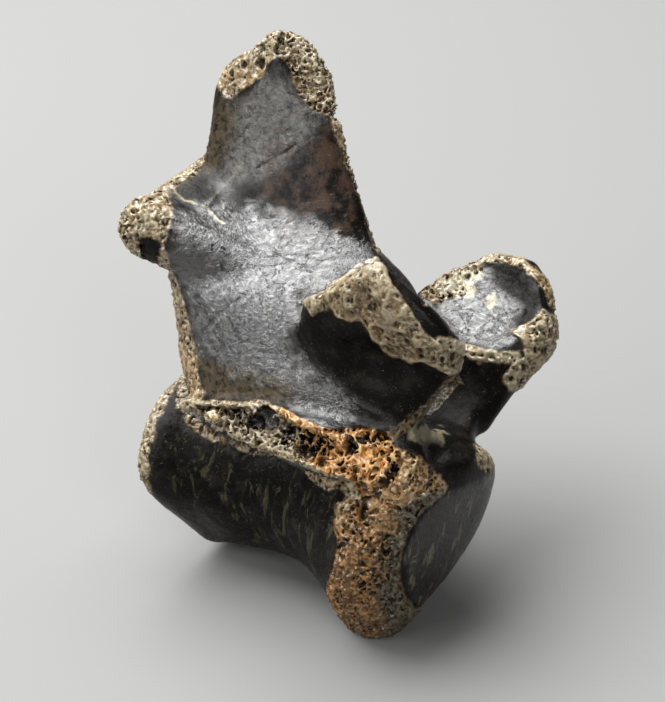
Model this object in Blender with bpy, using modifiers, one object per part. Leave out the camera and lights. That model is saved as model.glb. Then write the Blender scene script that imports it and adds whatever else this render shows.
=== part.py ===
"""A fossil neck vertebra of a reindeer, life size, lying as it rests on a table.

It is modelled in the bone's own frame (X towards the head, Y to the animal's left, Z towards the back),
then tipped onto its left transverse process, and parted by thin cuts into its named anatomical parts.
"""

import math

import bmesh
import bpy
from mathutils import Matrix, Vector

MM = 0.001

# Driving sizes, in millimetres in the bone's own frame.
BODY_HEIGHT = 25.0  # caudal face of the centrum, bottom to top
BODY_WIDTH = 27.0  # caudal face of the centrum, side to side
SPINE_TOP = 63.5  # height of the spinous process above the frame's origin
CANAL_WIDTH = 17.0
CANAL_HEIGHT = 14.5
FACET_SLOPE = math.radians(48.0)  # cranial joint facets, up and outwards
FACET_FOOT = 7.4  # half the gap between the two facets at their lower edge
FACET_DEPTH = 1.5  # how far each facet is dished

# How it lies: the spine leans towards its left, away from the side that shows.
ROLL = math.radians(22.0)
PITCH = math.radians(-5.0)
FLAT_DEPTH = 0.3  # how deep the shallowest resting point is worn flat

# Mesh: the grain of the blend between the pieces, and the faces kept.
GRAIN = 0.55
BLEND_ROUNDS = 11
KEPT_FACES = 12400
CUT = 0.3  # width of the cuts between the named parts

DARK = (0.028, 0.022, 0.018, 1.0)
WORN = (0.30, 0.20, 0.11, 1.0)


def power(value, exponent):
    """Raises a sine or cosine to a power, keeping its sign."""
    return math.copysign(abs(value) ** exponent, value)


def ring_angles(count):
    return [2 * math.pi * k / count for k in range(count)]


def between(rows, steps=4):
    """Adds sections between the given ones, on a smooth curve through them."""
    made = []
    last = len(rows) - 1
    for k in range(last):
        before = rows[max(k - 1, 0)]
        here = rows[k]
        after = rows[k + 1]
        beyond = rows[min(k + 2, last)]
        for step in range(steps):
            t = step / steps
            row = []
            for a, b, c, d in zip(before, here, after, beyond):
                bend = 2 * b + (c - a) * t + (2 * a - 5 * b + 4 * c - d) * t * t
                row.append((bend + (3 * b - a - 3 * c + d) * t ** 3) / 2)
            made.append(tuple(row))
    made.append(tuple(rows[last]))
    return made


def mesh_object(name, bm, collection):
    mesh = bpy.data.meshes.new(name)
    bm.to_mesh(mesh)
    bm.free()
    made = bpy.data.objects.new(name, mesh)
    collection.objects.link(made)
    return made


def loft(name, rings, collection):
    """A closed body through rings that all hold the same number of points, with flat ends."""
    bm = bmesh.new()
    rows = [[bm.verts.new(Vector(p) * MM) for p in ring] for ring in rings]
    for lower, upper in zip(rows, rows[1:]):
        for k in range(len(lower)):
            after = (k + 1) % len(lower)
            bm.faces.new((lower[k], lower[after], upper[after], upper[k]))
    bm.faces.new(rows[0][::-1])
    bm.faces.new(rows[-1])
    bmesh.ops.recalc_face_normals(bm, faces=bm.faces)
    return mesh_object(name, bm, collection)


def block(name, centre, half, collection, turn=None):
    """A box about a centre, turned by a rotation matrix where one is given."""
    bm = bmesh.new()
    bmesh.ops.create_cube(bm, size=2.0)
    shape = Matrix.Translation(Vector(centre) * MM)
    if turn is not None:
        shape = shape @ turn.to_4x4()
    bm.transform(shape @ Matrix.Diagonal((*(h * MM for h in half), 1)))
    return mesh_object(name, bm, collection)


def ball(name, centre, radii, collection, turn=None):
    """An ellipsoid, for hollows."""
    bm = bmesh.new()
    bmesh.ops.create_uvsphere(bm, u_segments=40, v_segments=24, radius=1.0)
    shape = Matrix.Translation(Vector(centre) * MM)
    if turn is not None:
        shape = shape @ turn.to_4x4()
    bm.transform(shape @ Matrix.Diagonal((*(r * MM for r in radii), 1)))
    return mesh_object(name, bm, collection)


def upright_ring(
    x, half_width, low, high, lean=0.0, keel=0.1, left_keel=0.1, tuck=0.0, squareness=2.3, count=40
):
    """A section across the centrum, tipped by lean.

    Below its middle each side is drawn in towards the keel by its own amount, or out where that is
    negative, and tuck carries the lower edge forwards.
    """
    middle = (low + high) / 2
    half_height = (high - low) / 2
    ring = []
    for angle in ring_angles(count):
        across = half_width * power(math.cos(angle), 2 / squareness)
        up = half_height * power(math.sin(angle), 2 / squareness)
        along = x + up * math.tan(lean)
        if up < 0:
            depth = (up / half_height) ** 2
            across *= 1 - (left_keel if across > 0 else keel) * depth
            along += tuck * depth
        ring.append((along, across, middle + up))
    return ring


def level_ring(z, back, front, back_width, front_width, squareness=2.6, count=40):
    """A level section through the arch or spine, with its own half-width at each end."""
    middle = (back + front) / 2
    reach = (front - back) / 2
    ring = []
    for angle in ring_angles(count):
        along = power(math.cos(angle), 2 / squareness)
        width = back_width + (front_width - back_width) * (along + 1) / 2
        ring.append((middle + reach * along, width * power(math.sin(angle), 2 / squareness), z))
    return ring


def outward_ring(y, back, front, low, high, side=1, count=28):
    """A section through a transverse process, standing across the direction it grows in."""
    ring = []
    for angle in ring_angles(count):
        along = power(math.cos(angle), 2 / 2.4)
        up = power(math.sin(angle), 2 / 2.4)
        x = (back + front) / 2 + (front - back) / 2 * along
        ring.append((x, side * y, (low + high) / 2 + (high - low) / 2 * up))
    return ring


def leaf_ring(x, out, up, reach, thickness, slope, side=1, count=28):
    """A leaf-shaped section across a joint process, its long side running outwards and up."""
    ring = []
    for angle in ring_angles(count):
        along = reach * math.cos(angle)
        through = thickness * math.sin(angle)
        y = out + along * math.cos(slope) - through * math.sin(slope)
        z = up + along * math.sin(slope) + through * math.cos(slope)
        ring.append((x, side * y, z))
    return ring


def centrum(collection):
    """The body: caudal rim, drawn-in waist, deep cranial end and the domed head."""
    half = BODY_WIDTH / 2
    top = 14.4
    bottom = top - BODY_HEIGHT
    sections = (
        # x, half-width, low, high, lean, keel, left keel, tuck, squareness
        (-22.0, half - 1.4, bottom + 1.2, top - 0.9, -0.04, 0.90, -0.5, 3.4, 2.05),
        (-21.3, half - 0.3, bottom + 0.5, top - 0.1, -0.04, 0.94, -0.8, 3.4, 2.05),
        (-18.4, half - 0.5, bottom + 0.3, top - 0.3, -0.04, 0.90, -0.8, 2.6, 2.10),
        (-15.6, half - 2.0, bottom + 0.9, top - 0.6, -0.02, 0.75, -0.4, 1.4, 2.10),
        (-11.0, 10.8, -9.1, 13.2, 0.0, 0.52, 0.3, 0.4, 2.2),
        (-4.5, 9.6, -8.6, 12.8, 0.0, 0.46, 0.46, 0.0, 2.3),
        (2.0, 9.9, -9.8, 12.6, 0.04, 0.50, 0.60, 0.0, 2.3),
        (7.0, 11.4, -13.0, 12.4, 0.10, 0.52, 0.80, 0.0, 2.3),
        (10.4, 12.6, -15.2, 12.4, 0.14, 0.50, 0.95, 0.0, 2.3),
        (11.8, 13.7, -16.0, 12.6, 0.16, 0.48, 0.98, 0.0, 2.3),
        (15.6, 14.0, -16.8, 12.6, 0.20, 0.47, 0.98, 0.0, 2.3),
        (18.8, 12.7, -15.2, 12.3, 0.24, 0.46, 0.90, 0.0, 2.2),
        (21.3, 9.9, -11.2, 11.4, 0.26, 0.42, 0.60, 0.0, 2.1),
        (22.6, 5.8, -6.0, 9.2, 0.26, 0.35, 0.40, 0.0, 2.0),
    )
    rings = [upright_ring(*row) for row in between(sections, 3)]
    return loft("centrum_form", rings, collection)


def arch_and_spine(collection):
    """Pedicles, laminae and the bladed spinous process, as level sections from the centrum up."""
    levels = (
        # z, back, front, half-width at the back, half-width at the front, squareness
        (8.0, -14.0, 18.6, 11.0, 12.5, 3.2),
        (11.5, -17.2, 20.4, 13.4, 13.6, 3.4),
        (14.0, -19.0, 20.4, 13.6, 13.4, 3.4),
        (17.0, -20.4, 20.9, 14.0, 13.4, 3.4),
        (20.5, -21.6, 22.0, 14.0, 12.8, 3.4),
        (24.0, -23.2, 20.0, 14.2, 11.8, 3.2),
        (27.5, -24.9, 14.0, 14.2, 10.6, 2.9),
        (30.5, -25.6, 11.2, 12.8, 8.8, 2.7),
        (33.5, -25.8, 7.6, 10.0, 6.6, 2.5),
        (36.5, -25.7, 4.0, 7.0, 4.6, 2.5),
        (40.0, -25.2, 2.2, 5.2, 3.2, 2.5),
        (45.0, -24.6, -0.2, 4.2, 2.4, 2.5),
        (50.0, -24.3, -2.4, 3.8, 2.2, 2.5),
        (55.0, -24.2, -4.8, 3.8, 2.4, 2.6),
        (58.4, -22.2, -6.0, 3.8, 2.6, 2.7),
        (61.0, -18.4, -8.4, 3.4, 2.6, 2.5),
        (62.6, -16.9, -10.6, 2.8, 2.4, 2.4),
        (SPINE_TOP, -15.8, -12.4, 1.8, 1.6, 2.2),
    )
    rings = [level_ring(*row) for row in between(levels, 3)]
    return loft("arch_form", rings, collection)


def cranial_process(side, levels, collection):
    """The pillar that carries a cranial joint facet: level sections that lean outwards as they rise."""
    rings = []
    for z, back, front, inner, outer in between(levels, 3):
        half = (outer - inner) / 2
        ring = level_ring(z, back, front, half * 0.75, half, 2.6, 28)
        rings.append([(x, side * (y + (outer + inner) / 2), z) for x, y, z in ring])
    return loft(f"cranial_form_{side}", rings, collection)


def cranial_processes(collection):
    """The two differ, because the right one has lost the top and side of its rim."""
    right = (
        # z, back, front, inner, outer
        (12.0, 8.0, 19.0, 8.0, 13.4),
        (16.0, 6.5, 20.2, 8.0, 13.6),
        (20.0, 4.5, 22.4, 8.0, 14.2),
        (23.5, 2.5, 25.2, 8.0, 15.8),
        (26.5, 2.0, 25.8, 9.0, 18.0),
        (29.0, 3.6, 24.8, 11.0, 19.6),
        (31.5, 8.4, 22.6, 14.0, 20.4),
        (33.6, 12.2, 20.0, 17.0, 20.6),
        (36.2, 15.0, 16.8, 19.0, 20.4),
    )
    left = (
        (12.0, 8.0, 19.5, 8.0, 13.6),
        (16.0, 6.5, 21.4, 8.0, 14.2),
        (20.0, 3.5, 22.6, 8.0, 18.0),
        (23.5, 1.5, 24.2, 8.0, 22.2),
        (26.5, 1.5, 24.6, 9.5, 23.4),
        (29.0, 2.6, 24.0, 12.0, 23.2),
        (31.5, 4.6, 22.8, 14.5, 23.2),
        (34.0, 7.8, 21.0, 17.0, 23.2),
        (36.2, 11.8, 18.4, 19.6, 23.0),
    )
    cranial_process(-1, right, collection)
    cranial_process(1, left, collection)


def caudal_process(side, collection):
    """The process over the next vertebra: a blunt knob behind the lamina."""
    stations = (
        # x, out, up, reach, thickness
        (-10.0, 7.0, 30.0, 4.6, 3.4),
        (-16.0, 9.4, 32.0, 4.8, 3.8),
        (-21.0, 11.8, 33.6, 5.0, 4.4),
        (-24.4, 13.0, 34.4, 4.8, 4.4),
        (-26.6, 13.2, 34.4, 3.6, 3.2),
        (-27.7, 13.2, 34.2, 1.6, 1.5),
    )
    slope = math.radians(30)
    rings = [leaf_ring(*row, slope, side) for row in between(stations, 3)]
    return loft(f"caudal_form_{side}", rings, collection)


def roof_ring(x, ridge, out, up):
    """A section across the laminae: a roof with its ridge at the spine and an eave on each side."""
    right = [
        (out * 0.55, ridge + (up - ridge) * 0.5),
        (out, up),
        (out + 0.4, up - 3.0),
        (out * 0.6, up - 6.5),
    ]
    left = [(-y, z) for y, z in reversed(right)]
    return [(x, y, z) for y, z in [(0.0, ridge), *right, (0.0, up - 6.0), *left]]


def caudal_roof(collection):
    """The laminae flare backwards, from the back of the spine out to both caudal processes."""
    stations = (
        # x, ridge, out, up
        (-4.0, 37.0, 8.6, 31.6),
        (-9.0, 39.0, 10.6, 32.2),
        (-14.0, 41.0, 12.4, 33.4),
        (-18.0, 42.6, 13.8, 34.8),
        (-22.0, 44.0, 14.8, 36.2),
        (-24.8, 44.8, 15.0, 36.9),
        (-26.4, 44.2, 14.6, 36.8),
    )
    rings = [roof_ring(*row) for row in between(stations, 3)]
    return loft("caudal_roof", rings, collection)


def left_transverse_process(collection):
    """The left process is whole enough to carry the bone: it droops outwards to the table."""
    stations = (
        # y, back, front, low, high
        (8.0, -13.0, 17.0, 3.0, 14.0),
        (13.0, -12.0, 14.5, 3.6, 13.6),
        (17.0, -10.0, 10.0, 2.2, 11.4),
        (21.0, -8.8, 6.6, 0.2, 8.6),
        (25.0, -8.6, 4.8, -1.8, 5.8),
        (28.0, -7.6, 3.6, -2.9, 3.6),
        (29.4, -5.6, 2.0, -2.4, 1.8),
    )
    rings = [outward_ring(*row) for row in between(stations, 3)]
    return loft("left_transverse_form", rings, collection)


def root_ring(y, back, front, swell, count=32):
    """A section through the broken right root: a lens, thin at the caudal end and deep at the cranial."""
    ring = []
    for angle in ring_angles(count):
        forward = (power(math.cos(angle), 0.9) + 1) / 2
        half = swell * (0.3 + 0.7 * forward)
        middle = 12.0 - 1.9 * forward
        ring.append((back + (front - back) * forward, -y, middle + half * power(math.sin(angle), 0.9)))
    return ring


def right_transverse_root(collection):
    """The right process is broken off: its root is a long low swelling."""
    stations = (
        # y, back, front, swell
        (8.0, -14.6, 20.5, 6.2),
        (12.0, -15.0, 20.5, 5.4),
        (14.4, -15.0, 19.8, 4.6),
        (15.8, -14.6, 19.0, 4.0),
    )
    rings = [root_ring(*row) for row in between(stations, 3)]
    return loft("right_transverse_form", rings, collection)


def canal(collection):
    """The tunnel for the spinal cord, flared at both ends."""
    floor = 13.2
    stations = (
        # x, half-width, floor, roof
        (-34.0, 11.5, floor + 1.5, floor + CANAL_HEIGHT + 6.0),
        (-17.0, CANAL_WIDTH / 2 + 0.8, floor + 1.0, floor + CANAL_HEIGHT + 1.4),
        (-4.0, CANAL_WIDTH / 2, floor, floor + CANAL_HEIGHT),
        (8.0, CANAL_WIDTH / 2, floor, floor + CANAL_HEIGHT),
        (16.0, CANAL_WIDTH / 2 + 0.6, floor, floor + CANAL_HEIGHT + 2.0),
        (34.0, CANAL_WIDTH / 2 + 3.0, floor - 1.5, floor + CANAL_HEIGHT + 5.0),
    )
    rings = [upright_ring(*row, squareness=2.5) for row in between(stations, 3)]
    return loft("canal", rings, collection)


def facet_trough(collection):
    """The V between the cranial processes, whose two slopes are the joint facets."""
    foot = 22.6
    head = 46.0
    slant = (head - foot) / math.tan(FACET_SLOPE)
    rings = []
    for x in (9.0, 34.0):
        rings.append(
            [
                (x, -FACET_FOOT, foot - 6),
                (x, FACET_FOOT, foot - 6),
                (x, FACET_FOOT, foot),
                (x, FACET_FOOT + slant, head),
                (x, -FACET_FOOT - slant, head),
                (x, -FACET_FOOT, foot),
            ]
        )
    return loft("facet_trough", rings, collection)


def facet_dish(side, collection):
    """The oval hollow of one cranial joint facet, with a worn rim left standing round it."""
    up_slope = 9.6
    middle_y = FACET_FOOT + up_slope * math.cos(FACET_SLOPE)
    middle_z = 22.6 + up_slope * math.sin(FACET_SLOPE)
    turn = Matrix.Rotation(side * FACET_SLOPE, 3, "X")
    centre = (14.6, side * middle_y, middle_z)
    return ball(f"facet_dish_{side}", centre, (8.2, 8.0, FACET_DEPTH), collection, turn)


def scar_trough(collection):
    """The long hollow of spongy bone where the right transverse process broke away."""
    rings = [
        root_ring(13.9, -10.0, 10.0, 1.4),
        root_ring(15.0, -12.6, 12.4, 2.6),
        root_ring(18.0, -14.0, 14.0, 3.6),
    ]
    return loft("scar_trough", rings, collection)


def spine_scars(collection):
    """Both top corners of the spine are broken: their bone lies back from the plate on each side."""
    behind = (
        (-30, 52.8), (-21.0, 53.0), (-19.0, 53.2), (-17.3, 54.9),
        (-15.4, 56.8), (-14.2, 59.6), (-14.0, 70), (-30, 70),
    )
    ahead = (
        (-13.2, 70), (-13.4, 60.2), (-11.6, 58.0), (-10.8, 56.0), (-9.4, 54.4),
        (-7.4, 52.8), (-3.6, 51.6), (4, 50), (4, 70),
    )
    for corner, half_thickness, outline in (("behind", 2.2, behind), ("ahead", 1.3, ahead)):
        for side in (-1, 1):
            rings = [[(x, side * y, z) for x, z in outline] for y in (half_thickness, 9.0)]
            loft(f"spine_scar_{corner}_{side}", rings, collection)


def process_hollow(collection):
    """Under the worn rim of the right cranial process its outer face is hollowed."""
    turn = Matrix.Rotation(math.radians(25), 3, "X")
    ball("process_hollow", (14.2, -16.6, 21.5), (8.8, 3.3, 4.2), collection, turn)


def hollows(collection):
    ball("caudal_cup", (-28.6, 0, 2.0), (9.0, 11.0, 10.6), collection)
    for side in (-1, 1):
        facet_dish(side, collection)
    scar_trough(collection)
    spine_scars(collection)
    process_hollow(collection)


def applied(target):
    """Replaces an object's mesh by what its modifiers make of it."""
    graph = bpy.context.evaluated_depsgraph_get()
    mesh = bpy.data.meshes.new_from_object(target.evaluated_get(graph))
    target.modifiers.clear()
    old = target.data
    target.data = mesh
    bpy.data.meshes.remove(old)
    return target


def boolean(target, cutters, operation, solver="EXACT"):
    """Applies one Boolean with a whole collection."""
    modifier = target.modifiers.new("cut", "BOOLEAN")
    modifier.operation = operation
    modifier.operand_type = "COLLECTION"
    modifier.collection = cutters
    modifier.solver = solver
    return applied(target)


def largest_piece(target):
    """Drops the crumbs that a cut leaves, keeping the largest closed surface."""
    bm = bmesh.new()
    bm.from_mesh(target.data)
    bmesh.ops.remove_doubles(bm, verts=bm.verts, dist=1e-6)
    waiting = set(bm.faces)
    groups = []
    while waiting:
        start = waiting.pop()
        group = [start]
        front = [start]
        while front:
            for edge in front.pop().edges:
                for face in edge.link_faces:
                    if face in waiting:
                        waiting.discard(face)
                        group.append(face)
                        front.append(face)
        groups.append(group)
    groups.sort(key=lambda group: sum(face.calc_area() for face in group))
    for group in groups[:-1]:
        bmesh.ops.delete(bm, geom=group, context="FACES")
    bmesh.ops.triangulate(bm, faces=bm.faces)
    bm.to_mesh(target.data)
    bm.free()
    return target


def new_collection(name):
    made = bpy.data.collections.new(name)
    bpy.context.scene.collection.children.link(made)
    return made


def emptied(collection):
    for item in list(collection.objects):
        bpy.data.objects.remove(item)
    bpy.data.collections.remove(collection)


def blended(target):
    """Melts the pieces into one skin: an even mesh, smoothed, then thinned to the kept faces."""
    remesh = target.modifiers.new("remesh", "REMESH")
    remesh.mode = "VOXEL"
    remesh.voxel_size = GRAIN * MM
    smooth = target.modifiers.new("smooth", "SMOOTH")
    smooth.factor = 0.5
    smooth.iterations = BLEND_ROUNDS
    applied(target)
    thin = target.modifiers.new("thin", "DECIMATE")
    thin.ratio = min(1.0, KEPT_FACES / (2 * len(target.data.polygons)))
    return applied(target)


def whole_bone():
    """The bone in one piece, in its own frame."""
    forms = new_collection("forms")
    bone = centrum(bpy.context.scene.collection)
    arch_and_spine(forms)
    cranial_processes(forms)
    for side in (-1, 1):
        caudal_process(side, forms)
    caudal_roof(forms)
    left_transverse_process(forms)
    right_transverse_root(forms)
    boolean(bone, forms, "UNION")
    emptied(forms)
    cutters = new_collection("cutters")
    canal(cutters)
    facet_trough(cutters)
    hollows(cutters)
    boolean(bone, cutters, "DIFFERENCE")
    emptied(cutters)
    return largest_piece(blended(bone))


def pose():
    """From the bone's own frame to how it lies: pitched about Y, then rolled about its own length."""
    return Matrix.Rotation(-ROLL, 4, "X") @ Matrix.Rotation(PITCH, 4, "Y")


def resting_level(bone):
    """The table's height: just above the lowest points of the head, the caudal rim and the process."""
    turn = pose()
    feet = []
    for test in (
        lambda own: own.x > 0.006 and abs(own.y) < 0.014,
        lambda own: own.x < -0.014 and abs(own.y) < 0.014,
        lambda own: own.y > 0.022 and own.z < 0.015,
    ):
        feet.append(min((turn @ v.co).z for v in bone.data.vertices if test(v.co)))
    print("resting points, mm:", [round(foot / MM, 2) for foot in feet])
    return max(feet) + FLAT_DEPTH * MM


def worn_flat(bone):
    """Takes the small flats off the three resting points, all at one level."""
    level = resting_level(bone)
    cutters = new_collection("table")
    table = block("table", (0, 0, 0), (80, 80, 20), cutters)
    sunk = Matrix.Translation((0, 0, level - 20 * MM))
    table.data.transform(pose().inverted() @ sunk)
    boolean(bone, cutters, "DIFFERENCE", "MANIFOLD")
    emptied(cutters)
    return level


def facing(direction):
    """A rotation whose own X axis points along a direction."""
    return Vector(direction).to_track_quat("X", "Z").to_matrix()


def regions():
    """The order in which the parts are cut off, each by a box: name, centre, half-sizes, turn, colour."""
    sides = (("right", -1), ("left", 1))
    rows = [("spinous_process", (-10, 0, 58), (30, 9, 20), None, DARK)]
    for word, side in sides:
        along = Vector((-0.92, side * 0.33, 0.2)).normalized()
        centre = Vector((-20.2, side * 11.0, 33.0)) + along * 8
        rows.append((f"caudal_process_{word}", centre, (8, 7.5, 9), facing(along), WORN))
    for word, side in sides:
        along = Vector((0.30, side * 0.72, 0.62)).normalized()
        centre = Vector((12.0, side * 12.5, 24.5)) + along * 14
        rows.append((f"cranial_process_{word}", centre, (14, 22, 22), facing(along), DARK))
    rows.append(("neural_arch", (0, 0, 34.6), (40, 40, 20), None, DARK))
    rows.append(("transverse_process_left", (0, 34.3, 4), (30, 20, 16), None, DARK))
    rows.append(("transverse_stump_right", (2.8, -21.5, 10.3), (18.2, 10, 5.9), None, WORN))
    return rows


def coloured(target, colour):
    material = bpy.data.materials.new(target.name)
    material.use_nodes = True
    shader = material.node_tree.nodes["Principled BSDF"]
    shader.inputs["Base Color"].default_value = colour
    shader.inputs["Roughness"].default_value = 0.35 if colour == DARK else 0.8
    target.data.materials.clear()
    target.data.materials.append(material)
    for face in target.data.polygons:
        face.use_smooth = False


def parted(bone, collection):
    """Cuts the bone into its named parts, a thin gap apart, and returns them with the centrum last."""
    parts = []
    for name, centre, half, turn, colour in regions():
        inside = new_collection(f"{name}_inside")
        block("inside", centre, half, inside, turn)
        outside = new_collection(f"{name}_outside")
        block("outside", centre, [h + CUT for h in half], outside, turn)
        part = bpy.data.objects.new(name, bone.data.copy())
        collection.objects.link(part)
        boolean(part, inside, "INTERSECT", "MANIFOLD")
        boolean(bone, outside, "DIFFERENCE", "MANIFOLD")
        emptied(inside)
        emptied(outside)
        largest_piece(part)
        largest_piece(bone)
        coloured(part, colour)
        parts.append(part)
    bone.name = "centrum"
    bone.data.name = "centrum"
    for home in list(bone.users_collection):
        home.objects.unlink(bone)
    collection.objects.link(bone)
    coloured(bone, DARK)
    parts.append(bone)
    return parts


def laid_down(parts, level):
    """Tips the parts as they lie and sets the middle of their box's foot on the origin."""
    turn = pose()
    for part in parts:
        part.data.transform(turn)
    points = [v.co for part in parts for v in part.data.vertices]
    middle_x = (min(p.x for p in points) + max(p.x for p in points)) / 2
    middle_y = (min(p.y for p in points) + max(p.y for p in points)) / 2
    shift = Matrix.Translation((-middle_x, -middle_y, -level))
    for part in parts:
        part.data.transform(shift)
    print("shift, mm:", round(-middle_x / MM, 3), round(-middle_y / MM, 3), round(-level / MM, 3))


def clear_scene():
    for item in list(bpy.data.objects):
        bpy.data.objects.remove(item)


def main():
    clear_scene()
    bone = whole_bone()
    level = worn_flat(bone)
    home = new_collection("reindeer_vertebra")
    laid_down(parted(bone, home), level)


main()
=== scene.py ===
# Looks of a fossil neck vertebra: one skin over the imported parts, broken, pitted and coloured
# as in the photograph.
import math
import bmesh
import bpy
import numpy as np
import openvdb as vdb
from mathutils import Matrix, Vector


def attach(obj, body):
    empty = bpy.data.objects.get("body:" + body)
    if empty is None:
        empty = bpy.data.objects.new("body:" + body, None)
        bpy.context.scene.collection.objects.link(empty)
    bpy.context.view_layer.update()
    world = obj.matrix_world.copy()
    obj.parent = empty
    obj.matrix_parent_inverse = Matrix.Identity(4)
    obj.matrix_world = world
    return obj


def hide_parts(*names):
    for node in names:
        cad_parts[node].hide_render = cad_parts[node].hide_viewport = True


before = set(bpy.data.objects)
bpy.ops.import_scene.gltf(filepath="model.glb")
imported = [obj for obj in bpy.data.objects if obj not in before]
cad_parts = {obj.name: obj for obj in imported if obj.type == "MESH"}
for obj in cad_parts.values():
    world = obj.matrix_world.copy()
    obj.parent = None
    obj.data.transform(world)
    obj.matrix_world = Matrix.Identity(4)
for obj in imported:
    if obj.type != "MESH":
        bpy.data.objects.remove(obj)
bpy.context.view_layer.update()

# The bone's own frame in millimetres: X to the head end, Y to the animal's left, Z up the spine.
# It lies on the table rolled and pitched by these degrees.
boneFrame = {"roll": -22.0, "pitch": -5.0, "shift": (3.484, -10.418, 13.156)}
roll = Matrix.Rotation(math.radians(boneFrame["roll"]), 3, "X")
pitch = Matrix.Rotation(math.radians(boneFrame["pitch"]), 3, "Y")
turn = np.array(roll @ pitch)
shift = np.array(boneFrame["shift"])

# The camera, in degrees and millimetres. Pixels are those of the photograph.
viewpoint = {
    "azimuth": 33.0,
    "elevation": 29.0,
    "distance": 264.8,
    "aim": (0.205, -0.662, 31.138),
    "pixels": (665, 702),
    "focal": 1900.0,
    "sensor": 36.0,
}


def addCamera(spec):
    azimuth, elevation = math.radians(spec["azimuth"]), math.radians(spec["elevation"])
    level = math.cos(elevation)
    back = Vector((math.sin(azimuth) * level, -math.cos(azimuth) * level, math.sin(elevation)))
    camera = bpy.data.objects.new("camera", bpy.data.cameras.new("camera"))
    bpy.context.scene.collection.objects.link(camera)
    camera.location = (Vector(spec["aim"]) + back * spec["distance"]) * 0.001
    camera.rotation_euler = back.to_track_quat("Z", "Y").to_euler()
    camera.data.sensor_width = spec["sensor"]
    camera.data.lens = spec["focal"] * spec["sensor"] / max(spec["pixels"])
    camera.data.clip_start, camera.data.clip_end = 0.01, 20.0
    camera.data.dof.use_dof = False
    bpy.context.scene.camera = camera
    right = Vector((math.cos(azimuth), math.sin(azimuth), 0.0))
    return np.array(camera.location) * 1000, np.array(right), np.array(back.cross(right)), np.array(back)


eye, sideways, upwards, backwards = addCamera(viewpoint)


def toRow(own):
    return own @ turn.T + shift


def toOwn(row):
    return (row - shift) @ turn


def pixelOf(own):
    # pixel and distance from the eye of points in the bone's own frame
    ray = toRow(own) - eye
    far = -(ray @ backwards)
    across = viewpoint["pixels"][0] / 2 + viewpoint["focal"] * (ray @ sideways) / far
    down = viewpoint["pixels"][1] / 2 - viewpoint["focal"] * (ray @ upwards) / far
    return across, down, far


# Distance field of the parts, with their thin cuts closed. Sizes are in millimetres: the voxel, the
# room round the bone, how deep and how far out damage may reach, and half the widest cut that closes.
skinGrain = {
    "voxel": 0.22,
    "margin": 3.4,
    "band": 2.8,
    "outer": 0.9,
    "closing": 0.45,
    "faces": 320000,
}
voxel = skinGrain["voxel"]
coarse = 2 * voxel


def partsSurface():
    places, faces, count = [], [], 0
    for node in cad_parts.values():
        node.data.calc_loop_triangles()
        spots = np.empty(len(node.data.vertices) * 3, np.float32)
        node.data.vertices.foreach_get("co", spots)
        corners = np.empty(len(node.data.loop_triangles) * 3, np.int32)
        node.data.loop_triangles.foreach_get("vertices", corners)
        places.append(spots.reshape(-1, 3))
        faces.append(corners.reshape(-1, 3) + count)
        count += len(spots) // 3
    return toOwn(np.concatenate(places) * 1000.0), np.concatenate(faces)


def blurred(field, step):
    # a 1-2-1 average along each axis, over neighbours that lie step voxels away
    for axis in range(3):
        ahead = np.roll(field, step, axis)
        behind = np.roll(field, -step, axis)
        field = field * 0.5 + (ahead + behind) * 0.25
    return field


def finer(field):
    # twice as many voxels along each axis, the new ones between the old
    for axis in range(3):
        count = field.shape[axis] * 2
        grown = np.empty([count if n == axis else field.shape[n] for n in range(3)], np.float32)
        even = [slice(None)] * 3
        odd = [slice(None)] * 3
        even[axis], odd[axis] = slice(0, None, 2), slice(1, None, 2)
        grown[tuple(even)] = field
        grown[tuple(odd)] = (field + np.roll(field, -1, axis)) * 0.5
        field = grown
    return field


def boneField():
    # distance to the bone's surface, in millimetres and negative inside, with its thin cuts closed
    corners = ((places - low) / coarse).astype(np.float32)
    grid = vdb.FloatGrid.createLevelSetFromPolygons(corners, triangles=faces.astype(np.uint32), halfWidth=3)
    spots, triangles, quads = grid.convertToPolygons(isovalue=skinGrain["closing"] / coarse)
    width = int(skinGrain["band"] / coarse) + 3
    grid = vdb.FloatGrid.createLevelSetFromPolygons(spots, triangles=triangles, quads=quads, halfWidth=width)
    field = np.empty(half, np.float32)
    grid.copyToArray(field)
    return blurred(finer(blurred(field * coarse + skinGrain["closing"], 1)), 1)


places, faces = partsSurface()
low = places.min(0) - skinGrain["margin"]
half = tuple(int(n) for n in np.ceil((places.max(0) + skinGrain["margin"] - low) / coarse))
shape = tuple(2 * n for n in half)
field = boneField()

# Bone that fills corners between the parts: centre, half-widths and soft joint, in millimetres.
fillingMargin = 2.5
fillings = {
    "besideStump": {"at": (19.7, -12.7, 9.3), "radii": (3.4, 2.7, 4.4), "soft": 1.8},
    "overStump": {"at": (17.5, -12.9, 11.5), "radii": (4.0, 2.4, 2.8), "soft": 1.2},
    "underStump": {"at": (17.6, -14.3, 8.4), "radii": (2.8, 1.9, 2.3), "soft": 1.5},
}


def filled(field, spec):
    # a soft-edged ball of bone joined to the field
    centre = (np.array(spec["at"]) - low) / voxel
    reach = np.ceil((np.array(spec["radii"]) + fillingMargin) / voxel).astype(int)
    first = np.maximum(centre.astype(int) - reach, 0)
    box = tuple(slice(int(a), int(a + 2 * r)) for a, r in zip(first, reach))
    steps = np.meshgrid(*[np.arange(part.start, part.stop) for part in box], indexing="ij")
    spots = np.stack(steps, -1) * voxel + low
    away = np.sqrt((((spots - spec["at"]) / spec["radii"]) ** 2).sum(-1))
    blob = (away - 1) * min(spec["radii"])
    blend = np.clip(0.5 + 0.5 * (field[box] - blob) / spec["soft"], 0, 1)
    field[box] = field[box] * (1 - blend) + blob * blend - spec["soft"] * blend * (1 - blend)


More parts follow.
